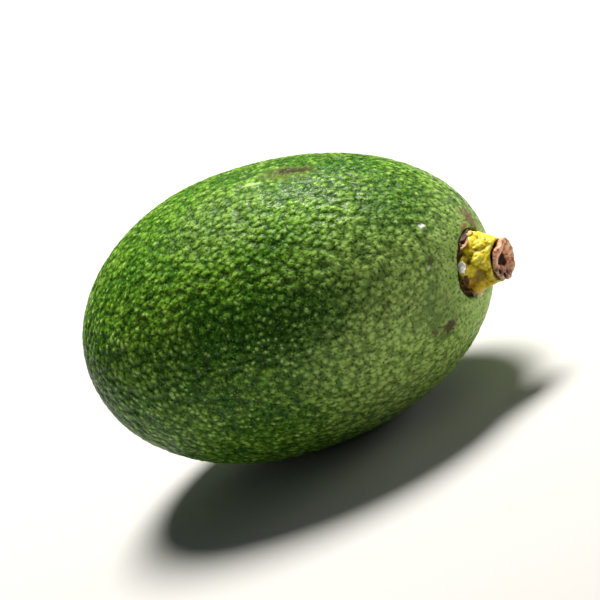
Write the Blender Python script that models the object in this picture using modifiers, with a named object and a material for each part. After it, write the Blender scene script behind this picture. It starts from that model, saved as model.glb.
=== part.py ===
"""A green avocado as picked, lying on its side, with the stub of its stem still on.

Run it with blender --background --python part.py, or from Blender's text editor.
Metres, +Z up. +X runs along the fruit towards its stem, and the origin is on the
surface that the fruit lies on, under the middle of its box.

Four pieces: the fruit, the yellow stub of its stem, the dry cup on the stub's
broken end, and the ragged brown ring where the stub enters the skin.
"""

import math
import random

import bmesh
import bpy
from mathutils import Matrix, Vector, kdtree, noise

MM = 0.001

# Driving sizes of the fruit, measured without its stem
HALF_LENGTH = 43.5 * MM
HALF_WIDTH = 27.9 * MM
STEM_END_BLUNTNESS = 2.08
FLOWER_END_BLUNTNESS = 2.16
TAPER_TO_STEM = 0.057

# Skin relief. The pebbles are low domes, over twice as wide as the real ones
SKIN_GRID = 30
SWELL_HEIGHT = 0.45 * MM
SWELL_LENGTH = 24 * MM
SWELL_SEED = Vector((0.3, 2.6, 1.1))
PEBBLE_COUNT = 620
PEBBLE_HEIGHT = 0.7 * MM
PEBBLE_REACH = 2.7 * MM
PEBBLE_JITTER = 1.3 * MM
SMOOTH_BY_STEM = (8 * MM, 16 * MM)
SMOOTH_BY_FLAT = (0.6 * MM, 2.4 * MM)
ROUND_BY_FLAT = (0 * MM, 6 * MM)

# The flat that the fruit lies on
FLAT_DEPTH = 0.35 * MM

# The scar of the flower's style
STYLE_SCAR_HEIGHT = 0.5 * MM
STYLE_SCAR_WIDTH = 1.5 * MM

# The dimple that the stem stands in, a little off the fruit's own axis
STEM_OFFSET = Vector((0, -0.45, -3.8)) * MM
STEM_LEAN = math.radians(13.6)
DIMPLE_DEPTH = 1.2 * MM
DIMPLE_WIDTH = 9 * MM

# Everything on the stem is turned about it. Heights start at the bottom of the dimple
GAP = 0.3 * MM
ROUND_STEPS = 36
SOCKET_RADIUS = 5.6 * MM
SOCKET_DEPTH = 5.6 * MM
RIM_RADIUS = 7.15 * MM
RIM_DEPTH = 1.9 * MM
CUTTER_TOP = 6 * MM

# The stub: (radius, height) down its side in mm, then its lumps and blunt ribs
STEM_SIDE = [(4.25, 4.35), (4.5, 3.6), (4.95, 2.4), (5.3, 1.1), (5.45, 0.2), (5.4, -0.9)]
ROOT_RADIUS = SOCKET_RADIUS - GAP
ROOT_TAPER = 0.6 * MM
STEM_HEIGHT = 4.7 * MM
STEM_DISH_RADIUS = 3.3 * MM
STEM_DISH_DEPTH = 0.9 * MM
LUMP_HEIGHT = 0.5 * MM
LUMP_WIDTH = 2.6 * MM
LUMP_SEED = Vector((4.1, 0.7, 2.2))
RIB_COUNT = 5
RIB_HEIGHT = 0.16 * MM
RIB_TWIST = 2 * MM
LUMPS_BETWEEN = (0.5 * MM, 4.3 * MM)
LUMPS_GROW_OVER = 1.0 * MM

# The cup: (radius, height above the stub) in mm, from its hollow, over the rim and down
CUP_SIDE = [
    (0.0, 0.7),
    (0.8, 0.75),
    (1.7, 1.0),
    (2.3, 1.35),
    (3.0, 1.6),
    (3.5, 1.65),
    (3.8, 1.4),
    (3.8, 0.95),
    (3.6, 0.4),
    (2.6, 0.3),
]
CUP_HEIGHT = 1.65 * MM
CUP_RIM_WANDER = 0.045
CUP_RIM_CURL = 0.17 * MM

# The ragged ring round the foot of the stub
RING_INNER = 5.75 * MM
RING_OUTER = 6.5 * MM
RING_TOP = 0.1 * MM
RING_CHAMFER = 0.25 * MM
RING_RAG = 0.4 * MM
RAG_COUNT = 4.5


def clear_scene():
    for obj in list(bpy.data.objects):
        bpy.data.objects.remove(obj, do_unlink=True)


def new_collection(name):
    collection = bpy.data.collections.new(name)
    bpy.context.scene.collection.children.link(collection)
    return collection


def new_material(name, colour, roughness):
    made = bpy.data.materials.new(name)
    made.use_nodes = True
    shader = made.node_tree.nodes["Principled BSDF"]
    shader.inputs["Base Color"].default_value = (*colour, 1)
    shader.inputs["Roughness"].default_value = roughness
    shader.inputs["Metallic"].default_value = 0
    made.diffuse_color = (*colour, 1)
    return made


def new_object(name, mesh, collection, surface=None):
    if surface:
        mesh.materials.append(surface)
    obj = bpy.data.objects.new(name, mesh)
    collection.objects.link(obj)
    return obj


def shade_round(mesh):
    mesh.shade_smooth()
    mesh.set_sharp_from_angle(angle=math.radians(50))


def smoothstep(low, high, value):
    share = min(1.0, max(0.0, (value - low) / (high - low)))
    return share * share * (3 - 2 * share)


# Fruit

OFF_AXIS = STEM_OFFSET.normalized()
STEM_DIRECTION = Vector((math.cos(STEM_LEAN), 0, 0)) + OFF_AXIS * math.sin(STEM_LEAN)


def egg_radius(share):
    """The fruit's radius at a share of its half length, -1 at the flower end, 1 at the stem."""
    blunt = STEM_END_BLUNTNESS if share > 0 else FLOWER_END_BLUNTNESS
    round_off = max(0.0, 1 - abs(share) ** blunt) ** (1 / blunt)
    return HALF_WIDTH * round_off * (1 - TAPER_TO_STEM * share)


def find_stem_foot():
    """The bottom of the dimple. The skin is found by halving the way along the stem's line."""
    inside, outside = 0.0, 1.0
    for _ in range(30):
        middle = (inside + outside) / 2
        if egg_radius(middle) > STEM_OFFSET.length:
            inside = middle
        else:
            outside = middle
    skin = Vector((HALF_LENGTH * inside, 0, 0)) + STEM_OFFSET
    return skin - STEM_DIRECTION * DIMPLE_DEPTH


STEM_FOOT = find_stem_foot()


def from_stem_axis(point):
    across = point - STEM_FOOT
    return (across - STEM_DIRECTION * across.dot(STEM_DIRECTION)).length


def egg_point(direction):
    """The bare egg that way from its middle."""
    around = Vector((0, direction.y, direction.z))
    if around.length > 0:
        around.normalize()
    point = around * egg_radius(direction.x)
    point.x = HALF_LENGTH * direction.x
    return point


def scatter_pebbles():
    """The middle of each pebble: a golden-angle spiral over the egg, a little disturbed."""
    draw = random.Random(11)
    golden_angle = math.pi * (3 - math.sqrt(5))
    middles = kdtree.KDTree(PEBBLE_COUNT)
    for i in range(PEBBLE_COUNT):
        along = 1 - (2 * i + 1) / PEBBLE_COUNT
        across = math.sqrt(1 - along**2)
        turn = i * golden_angle
        middle = egg_point(Vector((along, across * math.cos(turn), across * math.sin(turn))))
        disturbed = Vector([draw.uniform(-PEBBLE_JITTER, PEBBLE_JITTER) for _ in range(3)])
        middles.insert(middle + disturbed, i)
    middles.balance()
    return middles


PEBBLES = scatter_pebbles()


def pebble(point):
    """0.5 on the middle of a pebble, down to -0.5 in the creases between them."""
    _, _, distance = PEBBLES.find(point)
    return 0.5 - min(1.0, distance / PEBBLE_REACH) ** 2


def skin_point(direction):
    """The skin that way from the egg's middle. Its relief dies out by the stem and the flat."""
    point = egg_point(direction)
    above_flat = point.z + HALF_WIDTH
    from_stem = from_stem_axis(point) if point.x > 0 else HALF_LENGTH
    relief = SWELL_HEIGHT * noise.noise(point / SWELL_LENGTH + SWELL_SEED)
    relief *= smoothstep(*ROUND_BY_FLAT, above_flat)
    pebbled = smoothstep(*SMOOTH_BY_STEM, from_stem) * smoothstep(*SMOOTH_BY_FLAT, above_flat)
    relief += PEBBLE_HEIGHT * pebble(point) * pebbled
    if point.x < 0:
        off_axis = math.hypot(point.y, point.z)
        relief += STYLE_SCAR_HEIGHT * math.exp(-((off_axis / STYLE_SCAR_WIDTH) ** 2))

    outward = Vector((point.x / HALF_LENGTH**2, point.y / HALF_WIDTH**2, point.z / HALF_WIDTH**2))
    point += outward.normalized() * relief
    if point.x > 0:
        dimple = DIMPLE_DEPTH * math.exp(-((from_stem / DIMPLE_WIDTH) ** 2))
        point -= STEM_DIRECTION * dimple
    return point


def make_fruit(collection, surface):
    """A cube, cut into a grid, blown out to the skin and sliced flat where it lies."""
    bm = bmesh.new()
    bmesh.ops.create_cube(bm, size=2)
    bmesh.ops.subdivide_edges(bm, edges=bm.edges[:], cuts=SKIN_GRID - 1, use_grid_fill=True)
    for vert in bm.verts:
        evenly = Vector([math.tan(side * math.pi / 4) for side in vert.co])
        vert.co = skin_point(evenly.normalized())

    flat_height = min(vert.co.z for vert in bm.verts) + FLAT_DEPTH
    sliced = bmesh.ops.bisect_plane(
        bm,
        geom=bm.verts[:] + bm.edges[:] + bm.faces[:],
        dist=0.02 * MM,
        plane_co=(0, 0, flat_height),
        plane_no=(0, 0, -1),
        clear_outer=True,
    )
    rim = [item for item in sliced["geom_cut"] if isinstance(item, bmesh.types.BMEdge)]
    for edge in rim:
        for vert in edge.verts:
            vert.co.z = flat_height
    bmesh.ops.edgeloop_fill(bm, edges=rim)
    bmesh.ops.dissolve_degenerate(bm, edges=bm.edges[:], dist=0.03 * MM)
    bmesh.ops.triangulate(bm, faces=bm.faces[:])
    bmesh.ops.recalc_face_normals(bm, faces=bm.faces[:])
    mesh = bpy.data.meshes.new("fruit")
    bm.to_mesh(mesh)
    bm.free()
    shade_round(mesh)
    return new_object("fruit", mesh, collection, surface), flat_height


def cut_socket(fruit, cutters):
    """Bores the stem's socket, with a wider, shallow rim for the ring round it."""
    socket = turned(
        "stem_socket_cutter",
        [
            (0, CUTTER_TOP),
            (RIM_RADIUS, CUTTER_TOP),
            (RIM_RADIUS, -RIM_DEPTH),
            (SOCKET_RADIUS, -RIM_DEPTH),
            (SOCKET_RADIUS, -SOCKET_DEPTH),
            (0, -SOCKET_DEPTH),
        ],
        cutters,
    )
    socket.hide_render = True
    socket.display_type = "WIRE"
    bore = fruit.modifiers.new("stem socket", "BOOLEAN")
    bore.operation = "DIFFERENCE"
    bore.solver = "EXACT"
    bore.object = socket
    return socket


# Turned pieces on the stem


def turned(name, profile, collection, surface=None, closed=False):
    """(radius, height) points, listed down the outer side, turned round Z by a Screw."""
    mesh = bpy.data.meshes.new(name)
    edges = [(i, i + 1) for i in range(len(profile) - 1)]
    if closed:
        edges.append((len(profile) - 1, 0))
    mesh.from_pydata([(radius, 0, height) for radius, height in profile], edges, [])
    obj = new_object(name, mesh, collection, surface)
    screw = obj.modifiers.new("turned", "SCREW")
    screw.steps = ROUND_STEPS
    screw.render_steps = ROUND_STEPS
    screw.use_merge_vertices = True
    screw.merge_threshold = 0.01 * MM
    return obj


def reshape(obj, moved):
    """Applies the Screw, then puts each vertex where moved says."""
    bpy.context.view_layer.update()
    graph = bpy.context.evaluated_depsgraph_get()
    mesh = bpy.data.meshes.new_from_object(obj.evaluated_get(graph))
    obj.modifiers.clear()
    obj.data = mesh
    for vert in mesh.vertices:
        vert.co = moved(vert.co.copy())
    shade_round(mesh)
    return obj


def catmull_rom(before, start, end, after, t):
    slope = (end - before) * t
    bend = (2 * before - 5 * start + 4 * end - after) * t**2
    turn = (3 * start - before - 3 * end + after) * t**3
    return (2 * start + slope + bend + turn) / 2


def curve_through(points, steps):
    """A smooth curve through (radius, height) points in mm, given back in metres."""
    ends = [points[0], *points, points[-1]]
    made = []
    for spans in zip(ends, ends[1:], ends[2:], ends[3:]):
        for step in range(steps):
            made.append(tuple(catmull_rom(*side, step / steps) * MM for side in zip(*spans)))
    made.append(tuple(side * MM for side in points[-1]))
    return made


def lumpy(co):
    """Uneven flesh: lumps and blunt, twisting ribs between the stub's foot and its tip."""
    outward = Vector((co.x, co.y, 0))
    if outward.length < STEM_DISH_RADIUS:
        return co
    foot, tip = LUMPS_BETWEEN
    shown = smoothstep(foot, foot + LUMPS_GROW_OVER, co.z)
    shown *= 1 - smoothstep(tip - LUMPS_GROW_OVER, tip, co.z)
    lump = LUMP_HEIGHT * noise.noise(co / LUMP_WIDTH + LUMP_SEED)
    rib = RIB_HEIGHT * math.sin(RIB_COUNT * math.atan2(co.y, co.x) + co.z / RIB_TWIST)
    return co + outward.normalized() * (lump + rib) * shown


def make_stem(collection, surface):
    dish_floor = STEM_HEIGHT - STEM_DISH_DEPTH
    root = GAP - SOCKET_DEPTH
    profile = [
        (0, dish_floor),
        (STEM_DISH_RADIUS - GAP, dish_floor),
        (STEM_DISH_RADIUS, STEM_HEIGHT),
        (STEM_SIDE[0][0] * MM - GAP, STEM_HEIGHT),
        *curve_through(STEM_SIDE, 3),
        (ROOT_RADIUS, -RIM_DEPTH),
        (ROOT_RADIUS, root + ROOT_TAPER),
        (ROOT_RADIUS - ROOT_TAPER, root),
        (0, root),
    ]
    return reshape(turned("stem", profile, collection, surface), lumpy)


def curled(co):
    """A dry rim that wanders in and out, and curls up and down a little."""
    turn = math.atan2(co.y, co.x)
    loose = smoothstep(STEM_HEIGHT, STEM_HEIGHT + CUP_HEIGHT, co.z)
    wander = math.sin(3 * turn + 0.6) + 0.6 * math.sin(5 * turn + 2.1)
    curl = math.sin(2 * turn - 0.5) + 0.5 * math.sin(5 * turn)
    outer = min(1.0, math.hypot(co.x, co.y) / STEM_DISH_RADIUS)
    co.xy *= 1 + CUP_RIM_WANDER * wander * loose
    co.z += CUP_RIM_CURL * curl * loose * outer
    return co


def make_cup(collection, surface):
    plug_radius = STEM_DISH_RADIUS - 2 * GAP
    plug_end = STEM_HEIGHT - STEM_DISH_DEPTH + GAP
    profile = [(radius * MM, STEM_HEIGHT + height * MM) for radius, height in CUP_SIDE]
    profile += [(plug_radius, STEM_HEIGHT), (plug_radius - GAP, plug_end), (0, plug_end)]
    return reshape(turned("stem_end_cup", profile, collection, surface), curled)


def torn(co):
    """A torn outer edge and a torn top. The ring's foot and its bore stay true."""
    turn = math.atan2(co.y, co.x)
    around = Vector((math.cos(turn), math.sin(turn), 0)) * RAG_COUNT
    outer = smoothstep(RING_INNER, RING_OUTER, math.hypot(co.x, co.y))
    upper = smoothstep(-RIM_DEPTH, RING_TOP, co.z)
    co.xy *= 1 + RING_RAG * noise.noise(around + SWELL_SEED) * outer / RING_OUTER
    co.z += RING_RAG * noise.noise(around + LUMP_SEED) * upper
    return co


def make_ring(collection, surface):
    foot = GAP - RIM_DEPTH
    profile = [
        (RING_INNER + RING_CHAMFER, RING_TOP),
        (RING_OUTER - RING_CHAMFER, RING_TOP),
        (RING_OUTER, RING_TOP - 2 * RING_CHAMFER),
        (RING_OUTER, foot + RING_CHAMFER),
        (RING_OUTER - RING_CHAMFER, foot),
        (RING_INNER, foot),
        (RING_INNER, RING_TOP - RING_CHAMFER),
    ]
    ring = turned("stem_base_ring", profile, collection, surface, closed=True)
    return reshape(ring, torn)


# Assembly


def middle_of_box(objects):
    """The middle of the box round the finished solids, in world space."""
    bpy.context.view_layer.update()
    graph = bpy.context.evaluated_depsgraph_get()
    points = []
    for obj in objects:
        solid = obj.evaluated_get(graph)
        points += [solid.matrix_world @ vert.co for vert in solid.to_mesh().vertices]
        solid.to_mesh_clear()
    return Vector([(min(side) + max(side)) / 2 for side in zip(*points)])


def main():
    clear_scene()
    parts = new_collection("avocado")
    cutters = new_collection("cutters")
    skin = new_material("avocado_skin", (0.075, 0.17, 0.025), 0.38)
    stem_flesh = new_material("stem_flesh", (0.45, 0.37, 0.03), 0.55)
    dry_end = new_material("dry_stem_end", (0.30, 0.14, 0.07), 0.8)
    dry_skin = new_material("dry_torn_skin", (0.10, 0.05, 0.03), 0.85)

    fruit, flat_height = make_fruit(parts, skin)
    socket = cut_socket(fruit, cutters)
    stem_pieces = [
        make_stem(parts, stem_flesh),
        make_cup(parts, dry_end),
        make_ring(parts, dry_skin),
    ]

    whole = bpy.data.objects.new("avocado_origin", None)
    parts.objects.link(whole)
    fruit.parent = whole
    up_the_stem = STEM_DIRECTION.to_track_quat("Z", "Y").to_matrix().to_4x4()
    for piece in [*stem_pieces, socket]:
        piece.parent = whole
        piece.matrix_local = Matrix.Translation(STEM_FOOT) @ up_the_stem

    middle = middle_of_box([fruit, *stem_pieces])
    whole.location = (-middle.x, -middle.y, -flat_height)


main()
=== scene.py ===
# %% [markdown]
# # A green avocado on its side, as picked
# The fruit is one egg of skin and flesh. On its narrower end stands the lumpy yellow stub of the
# stem, with a dry, dished end where the stem broke off and a ragged brown ring where it enters
# the skin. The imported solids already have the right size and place, so they are loaded first and
# everything here is built round them. What they can't show, the fine pebbles, the pale pores and
# the torn edges, is made in the steps below.

import math
import random

import bpy
from mathutils import Matrix, Vector, noise


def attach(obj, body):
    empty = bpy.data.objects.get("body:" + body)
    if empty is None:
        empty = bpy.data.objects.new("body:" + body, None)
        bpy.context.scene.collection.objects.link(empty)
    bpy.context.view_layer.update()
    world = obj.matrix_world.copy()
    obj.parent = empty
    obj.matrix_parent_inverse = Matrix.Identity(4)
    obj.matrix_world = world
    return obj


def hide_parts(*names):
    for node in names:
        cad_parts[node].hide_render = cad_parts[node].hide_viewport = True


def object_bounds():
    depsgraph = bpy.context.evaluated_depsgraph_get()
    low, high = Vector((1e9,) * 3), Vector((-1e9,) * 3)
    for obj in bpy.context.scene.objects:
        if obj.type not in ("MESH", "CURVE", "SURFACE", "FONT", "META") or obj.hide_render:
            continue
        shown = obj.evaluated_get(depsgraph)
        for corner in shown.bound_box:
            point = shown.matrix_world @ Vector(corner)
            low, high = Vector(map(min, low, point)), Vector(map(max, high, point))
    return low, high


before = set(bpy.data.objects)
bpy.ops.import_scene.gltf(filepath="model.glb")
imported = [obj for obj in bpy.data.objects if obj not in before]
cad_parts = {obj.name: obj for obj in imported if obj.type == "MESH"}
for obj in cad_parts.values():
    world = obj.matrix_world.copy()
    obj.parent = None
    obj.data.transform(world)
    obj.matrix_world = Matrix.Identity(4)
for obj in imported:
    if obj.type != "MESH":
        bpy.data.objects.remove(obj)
cad_low, cad_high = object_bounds()
MM = 0.001
print("CAD box in mm:", [round(side / MM, 2) for side in cad_high - cad_low])

# %% [markdown]
# ## Where the camera stands
# A still life of one small fruit is usually shot with a long lens from a few steps away, so that
# the near end doesn't look swollen. Blender can aim a camera with a constraint, but the angle asked
# for here also has a roll, because the fruit in the photograph is tipped, stem end up. Writing
# out the camera's own three axes gives all of it at once, and the lights and a few places on the
# skin use the same axes later. The camera's distance and the frame's width are in metres.

# %% The camera
CAMERA_AZIMUTH = math.radians(35.4)
CAMERA_ELEVATION = math.radians(20)
CAMERA_ROLL = math.radians(32.2)
CAMERA_DISTANCE = 1.8
FRAME_WIDTH = 0.114

level_right = Vector((math.cos(CAMERA_AZIMUTH), math.sin(CAMERA_AZIMUTH), 0))
back = Vector((math.sin(CAMERA_AZIMUTH), -math.cos(CAMERA_AZIMUTH), math.tan(CAMERA_ELEVATION)))
back.normalize()
level_up = back.cross(level_right)
right = level_right * math.cos(CAMERA_ROLL) - level_up * math.sin(CAMERA_ROLL)
up = level_right * math.sin(CAMERA_ROLL) + level_up * math.cos(CAMERA_ROLL)
photo_axes = Matrix((right, up, back)).transposed()
aim = (cad_low + cad_high) / 2

camera = bpy.data.objects.new("camera", bpy.data.cameras.new("camera"))
bpy.context.scene.collection.objects.link(camera)
bpy.context.scene.camera = camera
camera.data.lens = camera.data.sensor_width * CAMERA_DISTANCE / FRAME_WIDTH
camera.data.clip_start, camera.data.clip_end = 0.05, 20
camera.matrix_world = Matrix.Translation(aim + back * CAMERA_DISTANCE) @ photo_axes.to_4x4()
print("Lens in mm:", round(camera.data.lens))

# %% [markdown]
# ## The egg under the skin
# An avocado of this kind is nearly a turned egg: a little blunter at the flower end, narrower at
# the stem. The same few sizes and the same formula as in the part's source are used, so the fine
# skin lies where the solid's skin lies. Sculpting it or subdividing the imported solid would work
# too, but a formula keeps it exact and gives an even grid. Sizes here are in millimetres, from
# the egg's middle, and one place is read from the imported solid: the end of the stem's root.

# %% Sizes and the egg's formula
HALF_LENGTH, HALF_WIDTH = 43.5, 27.9
STEM_END_BLUNTNESS, FLOWER_END_BLUNTNESS = 2.08, 2.16
TAPER_TO_STEM = 0.057
STEM_OFFSET, STEM_LEAN = Vector((0, -0.45, -3.8)), math.radians(13.6)
DIMPLE_DEPTH, DIMPLE_WIDTH = 1.2, 9
SOCKET_DEPTH, GAP = 5.6, 0.3
HALVINGS = 30
ROOT_END_FLATNESS = 0.01
STEM_DIRECTION = Vector((math.cos(STEM_LEAN), 0, 0)) + STEM_OFFSET.normalized() * math.sin(STEM_LEAN)


def egg_radius(share):
    """The egg's radius at a share of its half length, -1 at the flower end, 1 at the stem."""
    blunt = STEM_END_BLUNTNESS if share > 0 else FLOWER_END_BLUNTNESS
    round_off = max(0.0, 1 - abs(share) ** blunt) ** (1 / blunt)
    return HALF_WIDTH * round_off * (1 - TAPER_TO_STEM * share)


def find_stem_foot():
    """The bottom of the dimple, by halving the way along the stem's line."""
    inside, outside = 0.0, 1.0
    for _ in range(HALVINGS):
        middle = (inside + outside) / 2
        if egg_radius(middle) > STEM_OFFSET.length:
            inside = middle
        else:
            outside = middle
    return Vector((HALF_LENGTH * inside, 0, 0)) + STEM_OFFSET - STEM_DIRECTION * DIMPLE_DEPTH


def middle_of_root_end():
    """The middle of the flat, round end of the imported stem's root."""
    points = [vert.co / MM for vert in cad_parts["stem"].data.vertices]
    lowest = min(point.dot(STEM_DIRECTION) for point in points)
    end = [point for point in points if point.dot(STEM_DIRECTION) < lowest + ROOT_END_FLATNESS]
    return Vector([(min(side) + max(side)) / 2 for side in zip(*end)])


STEM_FOOT = find_stem_foot()
EGG_MIDDLE = middle_of_root_end() - STEM_FOOT - STEM_DIRECTION * (GAP - SOCKET_DEPTH)
FLAT_HEIGHT = -EGG_MIDDLE.z
print("Egg's middle in mm:", [round(side, 3) for side in EGG_MIDDLE])
print("Stem's foot, from there:", [round(side, 3) for side in STEM_FOOT])

# %% [markdown]
# ## From an egg to a fruit
# A real fruit has slow swells, a small scar where the flower was, and a shallow dimple at the
# stem. Round the stem the skin rises to a low lip and then drops into a narrow pit, which is a
# little wider below the stem. Each of these is added to the egg as a bell or an eased step, and
# the point is then held above the flat spot that the fruit lies on.

# %% The smooth skin
SWELL_HEIGHT, SWELL_LENGTH, SWELL_SEED = 0.45, 24, Vector((0.3, 2.6, 1.1))
ROUND_BY_FLAT = 6
STYLE_SCAR_HEIGHT, STYLE_SCAR_WIDTH = 0.5, 1.5
PIT_DEPTH, PIT_FROM, PIT_TO = 1.9, 5.9, 6.7
PIT_WANDER, PIT_WANDER_SIZE = 0.45, 3.1
LIP_HEIGHT, LIP_WIDTH, LIP_OUTSIDE_PIT = 0.25, 0.9, 0.4
WIDE_GAP = 0.7
WIDE_GAP_SIDE = (-0.24 * right - 0.8 * up + 0.55 * back).normalized()
WIDE_GAP_FACING = (0.75, 1)


def clamped(value):
    return min(1.0, max(0.0, value))


def smoothstep(low, high, value):
    share = clamped((value - low) / (high - low))
    return share * share * (3 - 2 * share)


def bell(off, width):
    """1 at the middle, and a little over a third at the width."""
    return math.exp(-((off / width) ** 2))


def egg_point(direction):
    around = Vector((0, direction.y, direction.z))
    if around.length > 0:
        around.normalize()
    point = around * egg_radius(direction.x)
    point.x = HALF_LENGTH * direction.x
    return point


def off_stem_axis(point):
    across = point - STEM_FOOT
    return (across - STEM_DIRECTION * across.dot(STEM_DIRECTION)).length


def skin_point(direction):
    """The smooth skin that way from the egg's middle, with the dimple and the stem's pit."""
    point = egg_point(direction)
    outward = Vector((point.x / HALF_LENGTH**2, point.y / HALF_WIDTH**2, point.z / HALF_WIDTH**2))
    relief = SWELL_HEIGHT * noise.noise(point / SWELL_LENGTH + SWELL_SEED)
    relief *= smoothstep(0, ROUND_BY_FLAT, point.z + HALF_WIDTH)
    if point.x < 0:
        relief += STYLE_SCAR_HEIGHT * bell(math.hypot(point.y, point.z), STYLE_SCAR_WIDTH)
    off_stem = off_stem_axis(point)
    point += outward.normalized() * relief
    if point.x > 0:
        facing = (point - STEM_FOOT).normalized().dot(WIDE_GAP_SIDE)
        wander = PIT_WANDER * noise.noise(point / PIT_WANDER_SIZE)
        wander += WIDE_GAP * smoothstep(*WIDE_GAP_FACING, facing)
        lip = LIP_HEIGHT * bell(off_stem - PIT_TO - wander - LIP_OUTSIDE_PIT, LIP_WIDTH)
        pit = PIT_DEPTH * (1 - smoothstep(PIT_FROM, PIT_TO, off_stem - wander))
        dimple = DIMPLE_DEPTH * bell(off_stem, DIMPLE_WIDTH)
        point += STEM_DIRECTION * (lip - pit - dimple)
    point.z = max(point.z, FLAT_HEIGHT)
    return point


print("Skin's height over the middle in mm:", round((skin_point(Vector((0, 0, 1))) + EGG_MIDDLE).z, 2))

# %% [markdown]
# ## A fine grid for the skin
# The pebbles are 1.2 to 1.4 mm across, so the grid under them needs a point every 0.4 mm or so. A
# UV sphere wastes points at its poles. A cube blown up into a ball spreads them evenly, and it
# can be bent a little first, so that the points crowd towards the stem, where the skin folds
# down into a narrow pit. The grid stays under 200,000 triangles.

# %% The skin's grid
CELLS_ACROSS_CUBE = 128
CROWDED_FROM = 0.2


def crowded(side, share):
    """Pulls a place across the cube's face towards its middle, by a share."""
    return side + (side * (0.5 + 0.5 * side * side) - side) * share


def cube_grid(cells):
    """(points, faces) of a cube from -1 to 1, each face cut into cells, with shared edges."""
    points, faces, number = [], [], {}

    def corner(place):
        if place not in number:
            number[place] = len(points)
            points.append(Vector([2 * side / cells - 1 for side in place]))
        return number[place]

    for axis in range(3):
        for end in (0, cells):
            for i in range(cells):
                for j in range(cells):
                    ring = [(i, j), (i + 1, j), (i + 1, j + 1), (i, j + 1)]
                    if end == 0:
                        ring.reverse()
                    places = [(end, *pair) for pair in ring]
                    turned = [place[3 - axis :] + place[: 3 - axis] for place in places]
                    faces.append([corner(place) for place in turned])
    return points, faces


def make_skin_grid():
    points, faces = cube_grid(CELLS_ACROSS_CUBE)
    placed = []
    for point in points:
        share = smoothstep(CROWDED_FROM, 1, point.x)
        side = Vector((point.x, crowded(point.y, share), crowded(point.z, share)))
        even = Vector([math.tan(part * math.pi / 4) for part in side])
        placed.append((skin_point(even.normalized()) + EGG_MIDDLE) * MM)
    mesh = bpy.data.meshes.new("avocado_skin")
    mesh.from_pydata(placed, [], faces)
    mesh.shade_smooth()
    return mesh


def new_piece(name, mesh, slot, *nodes):
    """Adds a mesh as a piece that stands for CAD nodes, which it hides. slot is not used."""
    piece = bpy.data.objects.new(name, mesh)
    bpy.context.scene.collection.objects.link(piece)
    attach(piece, "root")
    if nodes:
        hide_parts(*nodes)
    return piece


skin = new_piece("fine_skin", make_skin_grid(), "avocado_skin", "fruit")
face_area = sum(face.area for face in skin.data.polygons) / len(skin.data.polygons)
print("Skin faces:", len(skin.data.polygons), "about", round(math.sqrt(face_area) / MM, 2), "mm wide")

# %% [markdown]
# ## One helper for every node tree
# The pebbles are moved by geometry nodes and coloured by shader nodes. Both kinds of tree are
# made by the same small function: it adds one node, sets it up and links what is handed to it.
# A socket is named, or numbered where several share a name. What a colour or a push follows is
# nearly always a product of a few things that go from 0 to 1, so a second function makes that.
# Colours are written as they look on a screen and turned to the linear values that Blender
# computes with.

# %% Nodes and colours


def socket_of(sockets, key):
    if isinstance(key, int):
        return sockets[key]
    return next(socket for socket in sockets if socket.enabled and socket.name == key)


def fill(tree, node, inputs):
    """Sets a node's inputs to values, or links them to other nodes or their outputs."""
    for key, value in inputs.items():
        if isinstance(value, bpy.types.Node):
            value = next(socket for socket in value.outputs if socket.enabled)
        if isinstance(value, bpy.types.NodeSocket):
            tree.links.new(value, socket_of(node.inputs, key))
        else:
            socket_of(node.inputs, key).default_value = value


def add(tree, kind, inputs=(), **settings):
    """Adds a node, sets it up and fills its inputs."""
    made = tree.nodes.new(kind)
    for name, value in settings.items():
        setattr(made, name, value)
    fill(tree, made, dict(inputs))
    return made


def share_of(tree, *parts):
    """The product of the parts: each a number, a node, or (node, low, high).

    The last kind goes from 0 at low to 1 at high, eased at both ends."""
    shares = []
    for part in parts:
        if isinstance(part, tuple):
            limits = dict(zip(("Value", "From Min", "From Max"), part))
            part = add(tree, "ShaderNodeMapRange", limits, interpolation_type="SMOOTHSTEP")
        shares.append(part)
    product = shares[0]
    for share in shares[1:]:
        product = add(tree, "ShaderNodeMath", {0: product, 1: share}, operation="MULTIPLY")
    return product


def colour(hex_code):
    """An sRGB hex colour as linear red, green, blue and alpha."""
    parts = [int(hex_code[i : i + 2], 16) / 255 for i in (1, 3, 5)]
    linear = [p / 12.92 if p <= 0.04045 else ((p + 0.055) / 1.055) ** 2.4 for p in parts]
    return (*linear, 1)


print("Mid green, linear:", [round(part, 3) for part in colour("#4d7f26")])

# %% [markdown]
# ## Where the skin changes
# Near the stem the pebbles and pores fade out, but not along a clean circle. Noise is added to
# the distance from a middle just below the stem's foot, so the border wanders. The same trick
# gives every spot and band of colour further down its ragged border.

# %% Ragged borders
SMOOTH_MIDDLE = STEM_FOOT - 2 * up
STEM_BORDER_SIZE, STEM_BORDER_WANDER = 4, 8


def uneven(tree, value, where, size, detail, wander):
    """A value with noise of a size in mm added, of half the wander either way at most."""
    waves = add(tree, "ShaderNodeTexNoise", {"Vector": where, "Scale": 1 / size, "Detail": detail})
    centred = {0: waves, 1: wander, 2: -wander / 2}
    shift = add(tree, "ShaderNodeMath", centred, operation="MULTIPLY_ADD")
    return add(tree, "ShaderNodeMath", {0: value, 1: shift}, operation="ADD")


def away_from_stem(tree, where, from_mm, to_mm):
    """0 nearer to the stem than from_mm and 1 past to_mm, with an uneven border."""
    distance = add(tree, "ShaderNodeVectorMath", {0: where, 1: SMOOTH_MIDDLE}, operation="DISTANCE")
    ragged = uneven(tree, distance, where, STEM_BORDER_SIZE, 3, STEM_BORDER_WANDER)
    return share_of(tree, (ragged, from_mm, to_mm))


print("Middle of the smooth skin, from the egg's:", [round(side, 1) for side in SMOOTH_MIDDLE])

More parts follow.
